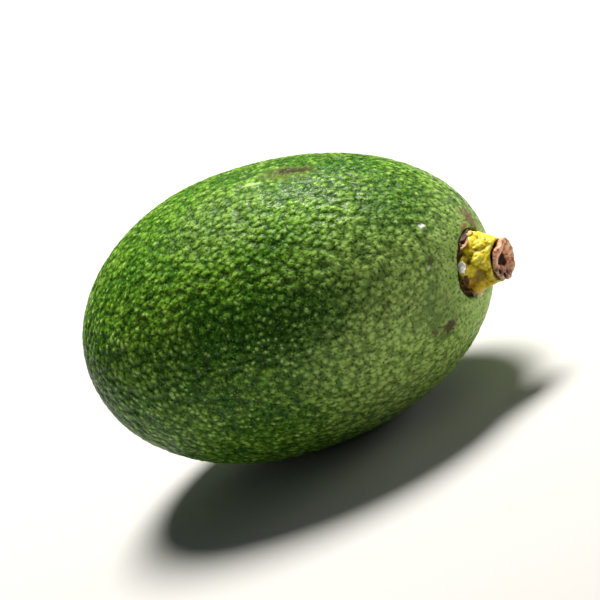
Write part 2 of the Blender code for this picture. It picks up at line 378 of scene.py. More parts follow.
# %% [markdown]
# ## Pebbles
# The skin of a green avocado is pebbled: low, rounded bumps about 1.2 mm across, drawn out a
# little along the fruit, with fine creases between them. A displacement picture would need an
# unwrap. A 3D Voronoi pattern has just such rounded cells and needs none: one over its cell size
# is its scale, and the distance to a cell's middle gives each pebble its dome. Geometry nodes
# push the grid's points out by it, so the bumps are real and show on the outline. They die out
# round the stem, where the skin is smoother, and by the flat that the fruit lies on.

# %% Pebbles pushed out by geometry nodes
PEBBLE_WIDTH, PEBBLE_STRETCH = 1.2, 0.84
PEBBLE_RELIEF, PEBBLE_PEAK, PEBBLE_FALL = 0.22, 0.35, 2
PEBBLE_UNEVENNESS = 1.0
PEBBLE_WARP, PEBBLE_WARP_SIZE = 1.0, 2.0
SMOOTH_BY_STEM = (9, 20)
SMOOTH_BY_FLAT = (0.3, 2.5)


def pebble_cells(tree, where):
    """A Voronoi node whose Distance is 0 on a pebble's middle. where is in mm from the egg's.

    The cells are drawn out along the fruit and bent by noise, so that no two are alike."""
    warp = {"Vector": where, "Scale": 1 / PEBBLE_WARP_SIZE, "Detail": 1}
    waves = add(tree, "ShaderNodeTexNoise", warp).outputs["Color"]
    shift = add(tree, "ShaderNodeVectorMath", {0: waves, "Scale": PEBBLE_WARP}, operation="SCALE")
    bent = add(tree, "ShaderNodeVectorMath", {0: where, 1: shift}, operation="ADD")
    stretch = {0: bent, 1: (PEBBLE_STRETCH, 1, 1)}
    drawn_out = add(tree, "ShaderNodeVectorMath", stretch, operation="MULTIPLY")
    cells = {"Vector": drawn_out, "Scale": 1 / PEBBLE_WIDTH, "Randomness": PEBBLE_UNEVENNESS}
    return add(tree, "ShaderNodeTexVoronoi", cells)


def pebbling_tree():
    tree = bpy.data.node_groups.new("pebbling", "GeometryNodeTree")
    for way in ("INPUT", "OUTPUT"):
        tree.interface.new_socket("Geometry", in_out=way, socket_type="NodeSocketGeometry")
    start = add(tree, "NodeGroupInput")
    position = add(tree, "GeometryNodeInputPosition")
    in_mm = add(tree, "ShaderNodeVectorMath", {0: position, "Scale": 1 / MM}, operation="SCALE")
    where = add(tree, "ShaderNodeVectorMath", {0: in_mm, 1: EGG_MIDDLE}, operation="SUBTRACT")
    height = add(tree, "ShaderNodeSeparateXYZ", {0: in_mm}).outputs["Z"]
    from_middle = pebble_cells(tree, where).outputs["Distance"]
    squared = add(tree, "ShaderNodeMath", {0: from_middle, 1: 2}, operation="POWER")
    curve = {0: squared, 1: -PEBBLE_FALL * PEBBLE_RELIEF, 2: PEBBLE_PEAK * PEBBLE_RELIEF}
    dome = add(tree, "ShaderNodeMath", curve, operation="MULTIPLY_ADD")
    by_stem = away_from_stem(tree, where, *SMOOTH_BY_STEM)
    lift = share_of(tree, dome, by_stem, (height, *SMOOTH_BY_FLAT), MM)
    normal = add(tree, "GeometryNodeInputNormal")
    offset = add(tree, "ShaderNodeVectorMath", {0: normal, "Scale": lift}, operation="SCALE")
    moved = add(tree, "GeometryNodeSetPosition", {"Geometry": start.outputs[0], "Offset": offset})
    add(tree, "NodeGroupOutput", {0: moved})
    return tree


def apply_geometry_nodes(piece, tree):
    """Runs a geometry tree on a piece once and keeps the mesh that comes out."""
    modifier = piece.modifiers.new(tree.name, "NODES")
    modifier.node_group = tree
    bpy.context.view_layer.update()
    graph = bpy.context.evaluated_depsgraph_get()
    baked = bpy.data.meshes.new_from_object(piece.evaluated_get(graph))
    piece.modifiers.clear()
    piece.data = baked
    baked.shade_smooth()


before = [vert.co.copy() for vert in skin.data.vertices]
apply_geometry_nodes(skin, pebbling_tree())
moves = [(vert.co - was).length / MM for vert, was in zip(skin.data.vertices, before)]
print("Pebbles move the skin by up to", round(max(moves), 3), "mm")

# %% [markdown]
# ## Coats of colour
# Colour is laid in coats, as on a painted model. Each coat hides what is under it by a share from
# 0 to 1: soft patches of noise, the inside of a ragged spot or something that is measured on the
# piece, times a strength. A picture would need the piece to be unwrapped. Nodes that know each
# place in millimetres don't, and a pattern's scale is then one over its real size. Noise stays
# near a half, so its patches are read between 0.35 and 0.65. What repeats, colour by colour, is
# kept in tables and laid by a loop.

# %% Coats and spots
SPOT_FADE = (1.2, 0.4)
SPOT_BORDER_SIZE = 1.25
PATCH_FADE = (0.35, 0.65)


def new_material(name):
    """A Principled material, with its tree and its shader."""
    material = bpy.data.materials.new(name)
    material.use_nodes = True
    return material, material.node_tree, material.node_tree.nodes["Principled BSDF"]


def place_in_mm(tree, origin, rotation=(0, 0, 0)):
    """Places on the piece in mm, from an origin and along turned axes."""
    place = add(tree, "ShaderNodeTexCoord").outputs["Object"]
    in_mm = add(tree, "ShaderNodeVectorMath", {0: place, "Scale": 1 / MM}, operation="SCALE")
    turned = {"Vector": in_mm, "Location": origin, "Rotation": rotation}
    return add(tree, "ShaderNodeMapping", turned, vector_type="TEXTURE")


def coat(tree, under, over, *share):
    """One colour, a hex code or a node, over another, as far as the share's parts multiply to."""
    ends = [colour(end) if isinstance(end, str) else end for end in (under, over)]
    inputs = {"Factor": share_of(tree, *share), "A": ends[0], "B": ends[1]}
    return add(tree, "ShaderNodeMix", inputs, data_type="RGBA")


def patches(tree, where, size, low=PATCH_FADE[0], high=PATCH_FADE[1]):
    """Soft patches of about a size in mm, from 0 to 1."""
    clouds = add(tree, "ShaderNodeTexNoise", {"Vector": where, "Scale": 1 / size, "Detail": 2})
    return share_of(tree, (clouds, low, high))


def lay_coats(tree, where, ground, coats, measured):
    """Lays a table's coats in order. Each follows a measured value, or patches of a size in mm."""
    for _, over, follows, low, high, strength in coats:
        if follows in measured:
            share = (measured[follows], low, high)
        else:
            share = patches(tree, where, follows, low, high)
        ground = coat(tree, ground, over, share, strength)
    return ground


def lay_spots(tree, where, ground, spots, raggedness):
    """Lays a table's spots in order, each an ellipsoid of colour with a ragged border."""
    for _, place, half_sizes, over, strength in spots:
        off = add(tree, "ShaderNodeVectorMath", {0: where, 1: place}, operation="SUBTRACT")
        scaled = add(tree, "ShaderNodeVectorMath", {0: off, 1: half_sizes}, operation="DIVIDE")
        far = add(tree, "ShaderNodeVectorMath", {0: scaled}, operation="LENGTH")
        far = uneven(tree, far, where, SPOT_BORDER_SIZE, 5, raggedness)
        ground = coat(tree, ground, over, (far, *SPOT_FADE), strength)
    return ground


def fine_grain(tree, where, size, depth, detail=3):
    """Fine relief for a shader's Normal, from noise of a size and a depth in mm."""
    grain = add(tree, "ShaderNodeTexNoise", {"Vector": where, "Scale": 1 / size, "Detail": detail})
    return add(tree, "ShaderNodeBump", {"Height": grain, "Distance": depth * MM, "Strength": 1})


print("Spots fade out from", SPOT_FADE[1], "to", SPOT_FADE[0], "of their half size")

# %% [markdown]
# ## The skin's greens
# The green of the skin isn't even. It is mottled in soft patches 3 to 15 mm wide. Below the stem
# it is paler, partly its own paler green and partly painted bounce light. Larger fields lie over
# that: deep green towards the stem, a painted light of lime along the top, a painted shade of deep
# green along the side and a painted sheen of hazy green on the shoulder. Painting them by hand
# would need an unwrap, so each is a row of a table, with its place in millimetres from the egg's
# middle.

# %% Mottling and larger fields
SKIN_GREEN = "#457a14"
PALE_AND_LIT_MIDDLE = STEM_FOOT - 15 * up - 4 * right + 4 * back
MOTTLING = [
    # name, colour, what it follows or its patches' size, 0 there, 1 there, strength
    ("lighter green", "#669b20", 15, *PATCH_FADE, 1.0),
    ("yellow-green mottling", "#7fac30", 5.5, *PATCH_FADE, 0.6),
    ("deep green mottling", "#2c5c0c", 3.4, 0.52, 0.7, 0.5),
    # Partly painted bounce light: the paler side below the stem.
    ("paler skin and painted bounce light below the stem", "#b2d070", "from pale and lit middle", 42, 12, 0.9),
]
FIELDS = [
    # name, place, half sizes, colour, strength
    ("deep green towards the stem", (35.5, -3.5, 15.5), (9, 10, 9), "#2a6410", 0.6),
    # The next three rows are painted light and shade: a sheen on the shoulder, shade along the side
    # and light along the top.
    ("painted sheen of hazy green on the shoulder", (3.5, -10, 25), (14, 9, 8), "#8cae56", 0.45),
    ("painted shade of deep green along the side", (12, -25, 8), (26, 9, 8), "#28600f", 0.75),
    ("painted light of lime green along the top", (20, -10.5, 21.8), (15, 4.5, 5), "#84bb2a", 0.45),
    ("deep green over the top", (26, 5.5, 22.5), (9, 5, 6), "#2a6410", 0.7),
    ("duller green on the far side", (-4, 26, 4), (46, 22, 26), "#45702a", 0.65),
    ("deep green on the far side", (6, 24, 12), (20, 8, 9), "#2a6410", 0.6),
    ("hazy green near the flower end", (-26, 16, 14), (12, 10, 10), "#8cae56", 0.4),
    ("deep green low by the flower end", (-32, 6, -14), (12, 12, 8), "#28600f", 0.6),
]
FIELD_RAGGEDNESS = 0.8


def from_pale_and_lit_middle(tree, where):
    """Distance in mm from the middle of the paler side, which is partly painted bounce light."""
    reach = add(tree, "ShaderNodeVectorMath", {0: where, 1: PALE_AND_LIT_MIDDLE}, operation="DISTANCE")
    return reach.outputs["Value"]


def lay_greens(tree, where):
    """The ground of the skin's colour, before anything that goes with the pebbles."""
    measured = {"from pale and lit middle": from_pale_and_lit_middle(tree, where)}
    green = lay_coats(tree, where, SKIN_GREEN, MOTTLING, measured)
    return lay_spots(tree, where, green, FIELDS, FIELD_RAGGEDNESS)


print("Middle of the paler side, from the egg's:", [round(side, 1) for side in PALE_AND_LIT_MIDDLE])

# %% [markdown]
# ## Haze, painted shade in creases and dents, and freckles
# Round the stem the skin turns a pale grey-green. Elsewhere shade is painted into the creases
# between the pebbles and into dents half a pebble wide, the low places of the bump, both a little
# less on the paler side. Paler freckles 0.7 mm apart lie over all of it. The creases come from the
# very cells that made the pebbles, so that each lies between its own bumps.

# %% Fine marks between the pebbles
PALE_BY_STEM = (8, 13.5)
HAZE_COLOURS, HAZE_PATCHES, HAZE_STRENGTH = ("#7d9e49", "#a6c06d"), 2.4, 0.85
CREASE_SHADE_COLOUR, CREASE_FADE, CREASE_STRENGTH = "#183f09", (0.28, 0.7), 0.75
DENT_SHADE_COLOUR, DENT_WIDTH, DENT_FADE, DENT_STRENGTH = "#0f2e05", 0.62, (0.5, 0.32), 0.8
FRECKLE_COLOUR, FRECKLE_WIDTH, FRECKLE_FADE, FRECKLE_STRENGTH = "#8fbb44", 0.7, (0.38, 0.12), 0.42
SOFTER_ON_PALE_SIDE = {"From Min": 12, "From Max": 32, "To Min": 0.75, "To Max": 1}


def lay_fine_marks(tree, where, green, cells, dents, body):
    """The haze, the painted shade in creases and dents, and the freckles. body is 0 round the stem and
    1 elsewhere.
    """
    by_stem = add(tree, "ShaderNodeMath", {0: 1, 1: body}, operation="SUBTRACT")
    haze = coat(tree, *HAZE_COLOURS, patches(tree, where, HAZE_PATCHES))
    green = coat(tree, green, haze, by_stem, HAZE_STRENGTH)
    softness = {"Value": from_pale_and_lit_middle(tree, where), **SOFTER_ON_PALE_SIDE}
    depth = add(tree, "ShaderNodeMapRange", softness)
    # Painted shade in the creases, and in the dents where the bump is lowest.
    crease_shade = (cells.outputs["Distance"], *CREASE_FADE)
    green = coat(tree, green, CREASE_SHADE_COLOUR, crease_shade, CREASE_STRENGTH, body, depth)
    green = coat(tree, green, DENT_SHADE_COLOUR, (dents, *DENT_FADE), DENT_STRENGTH, depth)
    fine = add(tree, "ShaderNodeTexVoronoi", {"Vector": where, "Scale": 1 / FRECKLE_WIDTH})
    freckle = (fine.outputs["Distance"], *FRECKLE_FADE)
    return coat(tree, green, FRECKLE_COLOUR, freckle, FRECKLE_STRENGTH)


print("Dents are", DENT_WIDTH, "mm wide and freckles", FRECKLE_WIDTH, "mm apart")

# %% [markdown]
# ## Pores
# Each pebble carries a lenticel, a pale yellow-green breathing pore. Scattering dots would put
# them anywhere, so the pores use the pebbles' own cells: a pore is the middle of its pebble. The
# cell's random colour gives each one its size and strength, and soft patches make them clearer
# in one place than another. On the shaded underside they are painted paler and stronger, a
# painted light that lifts them out of the shade. Sizes are in cell widths.

# %% Pores on the pebbles
PORE_COLOUR, SHADED_SIDE_PORE_COLOUR = "#9bba64", "#aed070"
PORE_LEAST, PORE_SPREAD, PORE_EDGE = 0.1, 0.24, 0.07
PORE_STRENGTHS = (-0.35, 0.75)
SHADED_UNDERSIDE, PAINTED_LIFT_BELOW = (6, -12), 0.4
FAINT_PATCHES, FAINT_FADE = 1.9, (0.3, 0.6)
CLEAR_PATCHES, CLEAR_LEAST = 19, 0.6


def lay_pores(tree, where, green, cells, body):
    """A pale pore on each pebble, fading round the stem, where body is 0."""
    own = cells.outputs["Color"]
    own_size = {0: own, 1: PORE_SPREAD, 2: PORE_LEAST}
    radius = add(tree, "ShaderNodeMath", own_size, operation="MULTIPLY_ADD")
    off_middle = {0: radius, 1: cells.outputs["Distance"]}
    inside = add(tree, "ShaderNodeMath", off_middle, operation="SUBTRACT")

    # Painted light: the pores are paler and stronger on the shaded underside.
    height = add(tree, "ShaderNodeVectorMath", {0: where, 1: up}, operation="DOT_PRODUCT")
    lower = share_of(tree, (height.outputs["Value"], *SHADED_UNDERSIDE))
    bright = share_of(tree, own, patches(tree, where, FAINT_PATCHES, *FAINT_FADE))
    bright = {0: lower, 1: PAINTED_LIFT_BELOW, 2: bright}
    bright = add(tree, "ShaderNodeMath", bright, operation="MULTIPLY_ADD")
    clear = {0: patches(tree, where, CLEAR_PATCHES), 1: 1 - CLEAR_LEAST, 2: CLEAR_LEAST}
    clear = add(tree, "ShaderNodeMath", clear, operation="MULTIPLY_ADD")

    paint = coat(tree, PORE_COLOUR, SHADED_SIDE_PORE_COLOUR, lower)
    parts = [(inside, -PORE_EDGE, PORE_EDGE), (bright, *PORE_STRENGTHS), body, clear]
    return coat(tree, green, paint, *parts)


print("Widest pore in mm:", round(2 * (PORE_LEAST + PORE_SPREAD) * PEBBLE_WIDTH, 2))

# %% [markdown]
# ## Waxy avocado skin
# The skin is a thin, waxy cuticle over green flesh. Its IOR is about that of plant wax. It
# scatters a wide, satin highlight, and a faint, sharper coat on it is broken into glints by the
# pebbles. It is rougher round the stem. A few scrapes and knocks have healed to brown cork, and
# the skin has gone russet by the ring. They are painted last, over the pores, together with a
# painted glint by the stem and painted shade on the duller skin round the cork spots. The dents
# are too fine for the grid, so a bump adds them, and it sharpens the creases too.

# %% The skin's marks, gloss and fine relief
MARKS = [
    # name, place, half sizes, colour, strength
    ("faded skin round the scrape", (15.5, 0.6, 25.8), (7.5, 3.0, 3.0), "#66742c", 0.6),
    ("scrape on top", (15.8, 1.2, 25.6), (5.4, 1.3, 2.2), "#33290f", 0.9),
    ("light nick", (8.0, -2.1, 27.1), (2.4, 0.6, 1.0), "#b9d48a", 0.7),
    # Partly painted shade, over skin that is a little duller and greyer.
    ("painted shade and duller skin round the cork spots", (37.2, -12.4, -5.5), (5.5, 6.5, 8), "#4a5f30", 0.45),
    ("cork spot below the stem", (36.6, -11.4, -9.6), (1.9, 2.2, 1.6), "#4f3a33", 0.85),
    ("second cork spot", (34.9, -13.9, -8.3), (0.9, 1.0, 0.9), "#5f4a3a", 0.7),
    ("dark fleck", (39.9, -10.4, 3.9), (1.0, 1.3, 1.0), "#26221c", 0.8),
    ("pale fleck by it", (39.4, -11.5, 3.3), (0.5, 0.7, 0.5), "#c9d2b4", 0.8),
    # A painted glint: a white highlight spot.
    ("painted glint by the stem", (39.4, -6.0, 9.6), (0.6, 0.9, 0.9), "#ffffff", 1.0),
    ("russet above the stem", (42.0, 5.0, 3.0), (2.4, 2.6, 3.2), "#6f5638", 0.85),
    ("russet at the ring", (43.0, 1.0, 3.4), (1.4, 2.2, 1.0), "#7a5a3c", 0.8),
    ("scar of the flower", (-43.6, 0, 0), (1.5, 1.7, 1.7), "#5b4026", 0.9),
]
MARK_RAGGEDNESS = 2.0
SATIN, SATIN_SPREAD, SATIN_PATCHES, ROUGHER_BY_STEM = 0.38, 0.14, 3.2, 0.2
DOME_SLOPE, SKIN_BUMP_DEPTH = -0.9, 0.2


def satin_roughness(tree, where, body):
    spread = {0: patches(tree, where, SATIN_PATCHES), 1: SATIN_SPREAD, 2: SATIN}
    satin = add(tree, "ShaderNodeMath", spread, operation="MULTIPLY_ADD")
    by_stem = add(tree, "ShaderNodeMath", {0: 1, 1: body}, operation="SUBTRACT")
    rougher = {0: by_stem, 1: ROUGHER_BY_STEM, 2: satin}
    return add(tree, "ShaderNodeMath", rougher, operation="MULTIPLY_ADD")


def make_waxy_skin():
    material, tree, shader = new_material("waxy avocado skin")
    where = place_in_mm(tree, EGG_MIDDLE)
    body = away_from_stem(tree, where, *PALE_BY_STEM)
    cells = pebble_cells(tree, where)
    dents = add(tree, "ShaderNodeTexNoise", {"Vector": where, "Scale": 1 / DENT_WIDTH, "Detail": 1})

    green = lay_greens(tree, where)
    green = lay_fine_marks(tree, where, green, cells, dents, body)
    green = lay_pores(tree, where, green, cells, body)
    green = lay_spots(tree, where, green, MARKS, MARK_RAGGEDNESS)

    domes = share_of(tree, cells.outputs["Distance"], DOME_SLOPE, body)
    relief = add(tree, "ShaderNodeMath", {0: domes, 1: dents}, operation="ADD")
    bump = {"Height": relief, "Distance": SKIN_BUMP_DEPTH * MM, "Strength": 1}
    finish = {
        "Base Color": green,
        "Roughness": satin_roughness(tree, where, body),
        "IOR": 1.44,
        "Specular IOR Level": 0.12,
        "Coat Weight": 0.06,
        "Coat Roughness": 0.08,
        "Coat IOR": 1.44,
        "Normal": add(tree, "ShaderNodeBump", bump),
    }
    fill(tree, shader, finish)
    return material


skin.data.materials.clear()
skin.data.materials.append(make_waxy_skin())
print("Skin's node count:", len(skin.data.materials[0].node_tree.nodes))

# %% [markdown]
# ## Turning about the stem
# Everything on the stem is round about one axis that leans off the fruit's own. In Blender such
# pieces are often spun with a Screw modifier. Here the rings of points are written directly,
# because each point is then pushed about by noise, and how far it was pushed is kept on it as
# an attribute, so that the material can paint shade into the hollows and light onto the crests.

# %% Rings of points about the stem's axis
STEM_AXES = STEM_DIRECTION.to_track_quat("Z", "Y").to_matrix().to_4x4()
STEM_TURN = STEM_AXES.to_euler()
STEM_ORIGIN = STEM_FOOT + EGG_MIDDLE
STEM_PLACE = Matrix.Translation(STEM_ORIGIN * MM) @ STEM_AXES @ Matrix.Scale(MM, 4)
ROUND_STEPS = 168


def curve_through(points, steps):
    """A smooth Catmull-Rom curve through (radius, height) points."""
    ends = [Vector(point) for point in (points[0], *points, points[-1])]
    made = []
    for before, start, end, after in zip(ends, ends[1:], ends[2:], ends[3:]):
        for step in range(steps):
            t = step / steps
            bend = (2 * before - 5 * start + 4 * end - after) * t**2
            turn = (3 * start - before - 3 * end + after) * t**3
            made.append((2 * start + (end - before) * t + bend + turn) / 2)
    made.append(ends[-1])
    return made


def turned_mesh(name, profile, moved):
    """Rings for a profile listed from the middle of the top down the outer side.

    A radius of 0 is one point. moved takes a place in mm and gives the new place and a share
    from 0, hollow, to 1, crest."""
    points, rings = [], []
    for radius, height in profile:
        count = ROUND_STEPS if radius > 0 else 1
        rings.append([len(points) + i for i in range(count)])
        for i in range(count):
            turn = 2 * math.pi * i / count
            points.append(Vector((radius * math.cos(turn), radius * math.sin(turn), height)))
    faces = []
    for upper, lower in zip(rings, rings[1:]):
        for i in range(ROUND_STEPS):
            j = (i + 1) % ROUND_STEPS
            pairs = [(upper, i), (lower, i), (lower, j), (upper, j)]
            corners = [ring[number % len(ring)] for ring, number in pairs]
            faces.append(list(dict.fromkeys(corners)))
    shifted = [moved(point) for point in points]
    mesh = bpy.data.meshes.new(name)
    mesh.from_pydata([place for place, _ in shifted], [], faces)
    crest = mesh.attributes.new("crest", "FLOAT", "POINT")
    crest.data.foreach_set("value", [share for _, share in shifted])
    mesh.transform(STEM_PLACE)
    mesh.shade_smooth()
    return mesh


def around(turn):
    """A point on a unit circle, for noise that closes on itself."""
    return Vector((math.cos(turn), math.sin(turn), 0))


def waves_at(place, rows):
    """A sum of noises, each row with its waves to a unit of the place, its seed and height."""
    return sum(height * noise.noise(place * waves + seed) for waves, seed, height in rows)


print("Stem leans", round(math.degrees(STEM_DIRECTION.angle(Vector((1, 0, 0)))), 1), "degrees")

# %% [markdown]
# ## The stub of the stem
# What is left of the stem is soft, bright yellow flesh that has swollen into lumps about 2 mm
# wide as it dried, and it flares where it grows out of the fruit. Sculpting would do it. A sum
# of two cell patterns and a few blunt ribs does it in code, and it can be tuned: the large
# cells make the lumps, the small ones their broken surface.

# %% The stub's shape
STUB_SIDE = [
    (0, 3.5),
    (2.2, 3.6),
    (3.4, 4.55),
    (3.85, 4.75),
    (4.2, 4.4),
    (4.4, 3.6),
    (4.75, 2.6),
    (5.15, 1.5),
    (5.5, 0.6),
    (5.8, -0.3),
    (5.85, -1.0),
    (5.6, -1.7),
    (5.2, -2.4),
]
STUB_STEPS = 9
PLAIN_UNDER_CUP = 2.8
LUMP_WIDTH, LUMP_HEIGHT, LUMP_MEAN = 2.1, 0.62, 0.55
GRAIN_WIDTH, GRAIN_HEIGHT, GRAIN_MEAN = 0.75, 0.2, 0.5
DOME_REACH = 0.75
RIBS, RIB_HEIGHT, RIB_TWIST, RIB_WANDER, RIB_WANDER_SIZE = 5, 0.2, 1.7, 1.2, 3
LUMPS_FROM_FOOT, LUMPS_TO_CUP, LESS_BY_CUP = (-2.2, 0), (3.6, 4.6), 0.3
CREST_RANGE = 0.9
STUB_SEED, GRAIN_SEED = Vector((3.2, 1.4, 5.5)), Vector((7.7, 0.4, 2.9))


def dome(place, width, seed):
    """1 on the middle of a cell of about that width, falling to 0 in the creases."""
    distances, _ = noise.voronoi(place / width + seed)
    return max(0.0, 1 - (distances[0] / DOME_REACH) ** 2)


def lumpy(place):
    outward = Vector((place.x, place.y, 0))
    if outward.length < PLAIN_UNDER_CUP:
        return place, 0.5
    turn = math.atan2(place.y, place.x)
    wander = RIB_WANDER * noise.noise(place / RIB_WANDER_SIZE)
    height = LUMP_HEIGHT * (dome(place, LUMP_WIDTH, STUB_SEED) - LUMP_MEAN)
    height += GRAIN_HEIGHT * (dome(place, GRAIN_WIDTH, GRAIN_SEED) - GRAIN_MEAN)
    height += RIB_HEIGHT * math.sin(RIBS * turn + place.z / RIB_TWIST + wander)
    shown = smoothstep(*LUMPS_FROM_FOOT, place.z)
    shown *= 1 - LESS_BY_CUP * smoothstep(*LUMPS_TO_CUP, place.z)
    return place + outward.normalized() * height * shown, clamped(0.5 + height / CREST_RANGE)


stub_mesh = turned_mesh("stem_stub", curve_through(STUB_SIDE, STUB_STEPS), lumpy)
stub = new_piece("stem_stub", stub_mesh, "stem_flesh", "stem")
print("Stub faces:", len(stub.data.polygons))

# %% [markdown]
# ## Yellow stem flesh
# Fresh flesh is moist, so it is glossier than dry wood, with light entering a little way. It is
# lemon yellow, with painted highlights paler still on the crests and painted shade olive to brown
# in the hollows. It dries brown at the foot. A brown band under the dry cup is painted shade, as
# is the brown on the side that faces down, and a dark spot by the foot is the painted shadow of a
# pit. Bands of colour up the stem are made uneven by noise.

# %% Moist stem flesh
LOWER_TURN = math.radians(230)
# The hollows' olive is painted shade.
FLESH_HOLLOW_SHADE = "#7d6204"
FLESH_COATS = [
    # name, colour, what it follows or its patches' size, 0 there, 1 there, strength
    ("lemon yellow flesh", "#e6d016", "crest", 0.1, 0.55, 1.0),
    # Painted highlights on the crests.
    ("painted highlights on the crests", "#f8ea58", "crest", 0.5, 0.85, 1.0),
    ("olive patches", "#bdba12", 2.6, *PATCH_FADE, 0.3),
    ("brown patches", "#94640c", 1.3, 0.55, 0.75, 0.4),
    # Painted shade on the side that faces down.
    ("brown painted shade on the low side", "#a9740e", "towards low side", 1.5, 6, 0.55),
    ("dried foot", "#5f3a16", "height", -0.1, -1.3, 0.85),
    # Painted shade under the cup's overhang.
    ("dried top", "#5d3d12", "height", 4.5, 5.3, 0.75),
]
# A painted shadow of a pit by the foot.
PIT_SHADOW_PLACE = around(math.radians(150)) * 5.4 + Vector((0, 0, 0.9))
FLESH_SPOTS = [("painted shadow of a pit by the foot", PIT_SHADOW_PLACE, (0.8, 0.8, 0.6), "#3b1e10", 0.9)]
FLESH_PIT_RAGGEDNESS = 1.0
FLESH_BAND_WANDER, BAND_BORDER_SIZE = 2.6, 1.82


def measure_stem(tree, where, band_wander):
    """What the stem's coats follow: the crests, the low side and the uneven height in mm."""
    low_way = {0: where, 1: around(LOWER_TURN)}
    toward_low = add(tree, "ShaderNodeVectorMath", low_way, operation="DOT_PRODUCT")
    height = add(tree, "ShaderNodeSeparateXYZ", {0: where}).outputs["Z"]
    return {
        "crest": add(tree, "ShaderNodeAttribute", attribute_name="crest").outputs["Fac"],
        "towards low side": toward_low.outputs["Value"],
        "height": uneven(tree, height, where, BAND_BORDER_SIZE, 3, band_wander),
    }


def make_stem_flesh():
    material, tree, shader = new_material("moist stem flesh")
    where = place_in_mm(tree, STEM_ORIGIN, STEM_TURN)
    measured = measure_stem(tree, where, FLESH_BAND_WANDER)
    flesh = lay_coats(tree, where, FLESH_HOLLOW_SHADE, FLESH_COATS, measured)
    flesh = lay_spots(tree, where, flesh, FLESH_SPOTS, FLESH_PIT_RAGGEDNESS)
    finish = {
        "Base Color": flesh,
        "Roughness": 0.42,
        "IOR": 1.42,
        "Subsurface Weight": 0.15,
        "Subsurface Radius": (1.0, 0.7, 0.2),
        "Subsurface Scale": 0.6 * MM,
        "Normal": fine_grain(tree, where, size=0.5, depth=0.12),
    }
    fill(tree, shader, finish)
    return material


stub.data.materials.append(make_stem_flesh())
print("Stub's node count:", len(stub.data.materials[0].node_tree.nodes))

# %% [markdown]
# ## The dry, dished end
# Where the stem snapped off, the cut dried into a thin, tan cup. Its far wall stands up and
# curls to a point, its near rim has sunk, the hollow between is dark red, and small pits and
# ridges run below it. It is turned as a bowl and then pushed about: the hollow slides sideways
# and gets three corners, the rim gets its point, its low side and its waves, and the pits are
# sunk one by one.

# %% The cup's side line and places
CUP_SIDE = [
    (0, -0.35),
    (0.8, -0.28),
    (1.3, 0.0),
    (1.7, 0.5),
    (2.15, 0.95),
    (2.7, 1.3),
    (3.2, 1.52),
    (3.6, 1.5),
    (3.8, 1.2),
    (3.8, 0.9),
    (3.65, 0.55),
    (3.4, 0.2),
    (2.4, -0.6),
    (0, -0.7),
]
CUP_STEPS = 7
STEM_HEIGHT = 4.7
PEAK_TURN, PEAK_SPREAD, PEAK_RISE, PEAK_OUT = math.radians(54), 0.38, 0.28, 0.09
SHOULDER_OFF, SHOULDER_SPREAD, SHOULDER_IN = 0.8, 0.4, 0.1
NEAR_TURN, NEAR_SPREAD, NEAR_DROP, NEAR_IN = math.radians(165), 1.0, 0.65, 0.07
HOLLOW_TURN, HOLLOW_SLIDE, HOLLOW_SQUASH = math.radians(320), 0.3, 0.4
HOLLOW_CORNERS, CORNER_DEPTH = 3, 0.28
TOP_FROM, HOLLOW_TO, CORNERS_FROM = (0.3, 1.0), (0.6, 3.6), (0.2, 1.2)
RIM_FROM, RIM_OUT_FROM, FIBRES_FROM = (1.4, 3.6), (2.4, 3.9), (0.8, 2.2)
ROUND_WANDER = [(2.3, Vector(), 0.07)]
ROUND_RIPPLES, RIPPLE_SIZE = 7, 0.03
ROUGH_WAVES = [(1.1, STUB_SEED, 0.5), (2.6, Vector(), 0.25)]
RIM_ROUGHNESS, RIM_RIPPLES, RIM_RIPPLE_HEIGHT = 0.3, 5, 0.1
FIBRES, FIBRE_SLANT, FIBRE_HEIGHT = 6, 0.5, 0.11
# Painted shade in the pits and painted light on the raised waves and fibres.
CREST_HEIGHTS, SHADE_IN_PITS, LIGHT_ON_WAVES, LIGHT_ON_FIBRES = (-0.1, 1.3), 1.5, 0.5, 0.35
PITS = [
    # turn in degrees, distance from the axis, width, depth
    (205, 2.6, 0.6, 0.7),
    (234, 2.9, 0.5, 0.6),
    (262, 2.5, 0.5, 0.6),
    (180, 3.2, 0.45, 0.5),
]
rim_height = STEM_HEIGHT + max(height for _, height in CUP_SIDE)
print("Rim of the cup above the foot in mm:", round(rim_height, 2))

# %% The cup's shape


def cup_outline(radius, turn, peak, near_side, inner):
    """How far a place on the cup moves in or out, as a factor."""
    shoulder = bell(abs(math.remainder(turn - PEAK_TURN, 2 * math.pi)) - SHOULDER_OFF, SHOULDER_SPREAD)
    corners = math.cos(HOLLOW_CORNERS * (turn - PEAK_TURN)) * smoothstep(*CORNERS_FROM, radius)
    wander = 1 + waves_at(around(turn), ROUND_WANDER)
    wander += RIPPLE_SIZE * math.sin(ROUND_RIPPLES * turn)
    rim_out = PEAK_OUT * peak - SHOULDER_IN * shoulder - NEAR_IN * near_side
    spread = 1 + rim_out * smoothstep(*RIM_OUT_FROM, radius)
    return (1 + CORNER_DEPTH * corners * inner) * wander * spread


